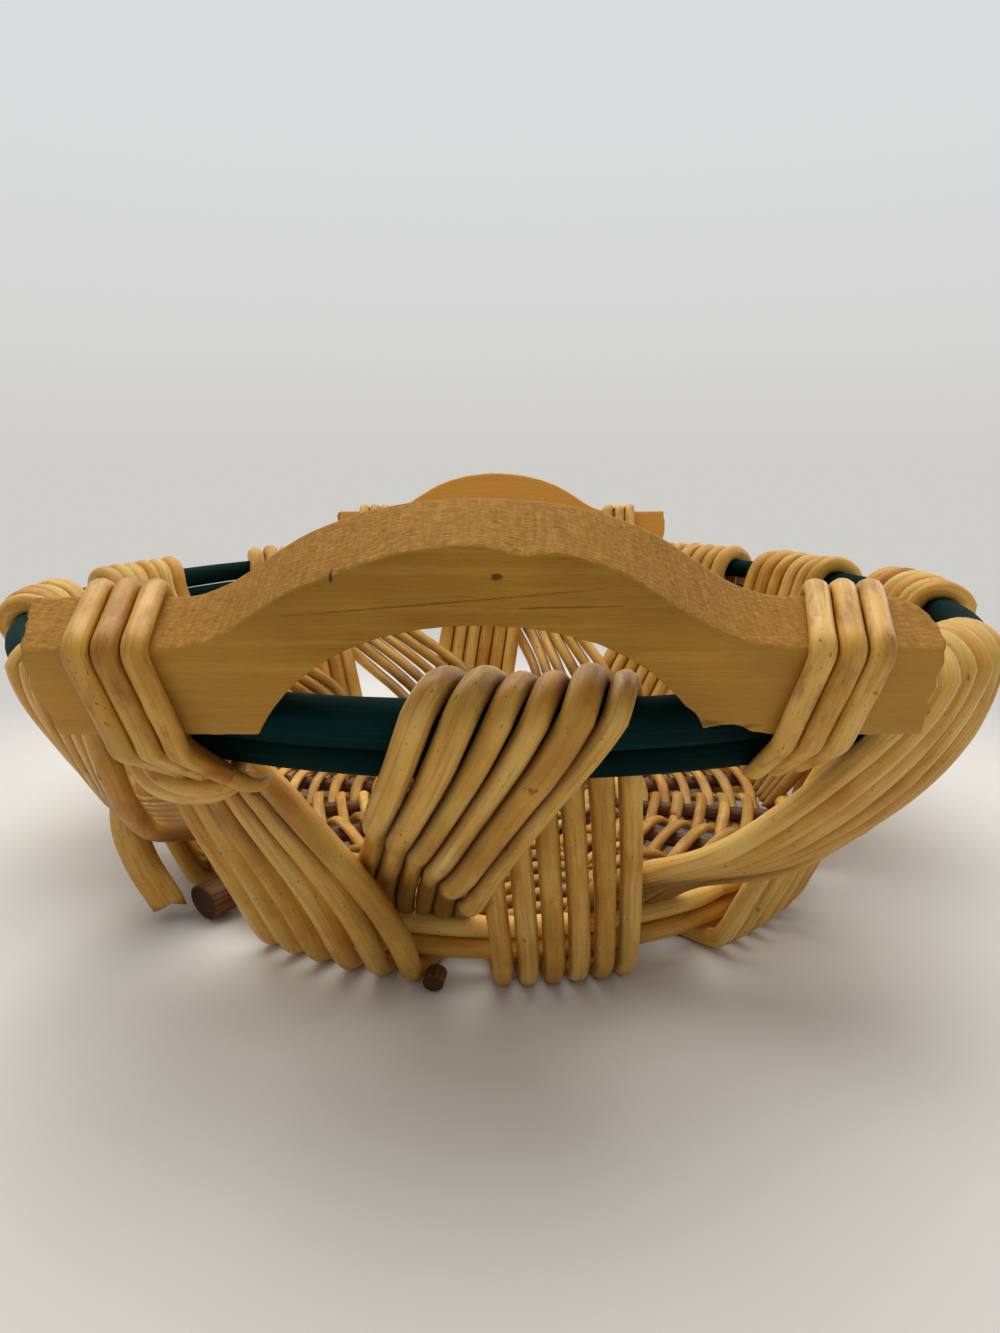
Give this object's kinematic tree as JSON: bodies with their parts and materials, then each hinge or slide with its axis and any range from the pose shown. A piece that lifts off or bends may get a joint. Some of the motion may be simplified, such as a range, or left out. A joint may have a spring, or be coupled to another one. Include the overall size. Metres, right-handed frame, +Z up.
{
  "type": "willow centerpiece basket",
  "caption": "Round flared willow basket with two stained rim hoops, bands of stakes looped over the rim, a woven base and two lashed wooden arch handles.",
  "frame": {"origin": "on the table, under the middle of the bounding box", "axes": "+Z up; +Y from the handle nearest the camera to the far handle; +X to the right as seen from outside the near handle"},
  "size_m": [0.3753, 0.4018, 0.1478],
  "materials": {
    "natural_willow": "buff willow rods under clear varnish",
    "pale_willow": "peeled willow, satin",
    "stained_willow": "dark green stain, satin",
    "brown_willow": "steamed brown willow, matt",
    "sawn_limewood": "sawn and sanded, clear varnish"
  },
  "bodies": {
    "root": {"rim_hoop_upper": "stained_willow", "rim_hoop_lower": "stained_willow", "base_border_lower": "natural_willow", "base_border_upper": "natural_willow", "base_stick_lower_1": "brown_willow", "base_stick_lower_2": "brown_willow", "base_stick_lower_3": "brown_willow", "base_stick_lower_4": "brown_willow", "base_stick_upper_1": "brown_willow", "base_stick_upper_2": "brown_willow", "base_stick_upper_3": "brown_willow", "base_stick_upper_4": "brown_willow", "base_weave": "pale_willow", "stakes_a_1": "natural_willow", "stakes_a_2": "natural_willow", "stakes_a_3": "natural_willow", "stakes_b_1": "natural_willow", "stakes_b_2": "natural_willow", "stakes_b_3": "natural_willow", "stakes_c_1": "natural_willow", "stakes_c_2": "natural_willow", "stakes_c_3": "natural_willow", "stakes_d_1": "natural_willow", "stakes_d_2": "natural_willow", "stakes_d_3": "natural_willow", "stakes_e_1": "natural_willow", "stakes_e_2": "natural_willow", "stakes_e_3": "natural_willow", "stakes_f_1": "natural_willow", "stakes_f_2": "natural_willow", "stakes_f_3": "natural_willow", "stakes_g_1": "natural_willow", "stakes_g_2": "natural_willow", "stakes_g_3": "natural_willow", "stakes_h_1": "natural_willow", "stakes_h_2": "natural_willow", "stakes_h_3": "natural_willow", "stakes_i_1": "natural_willow", "stakes_i_2": "natural_willow", "stakes_i_3": "natural_willow", "stakes_j_1": "natural_willow", "stakes_j_2": "natural_willow", "stakes_j_3": "natural_willow", "handle_front": "sawn_limewood", "handle_back": "sawn_limewood", "lashing_front_left": "pale_willow", "lashing_front_right": "pale_willow", "lashing_back_left": "pale_willow", "lashing_back_right": "pale_willow"}
  },
  "joints": []
}
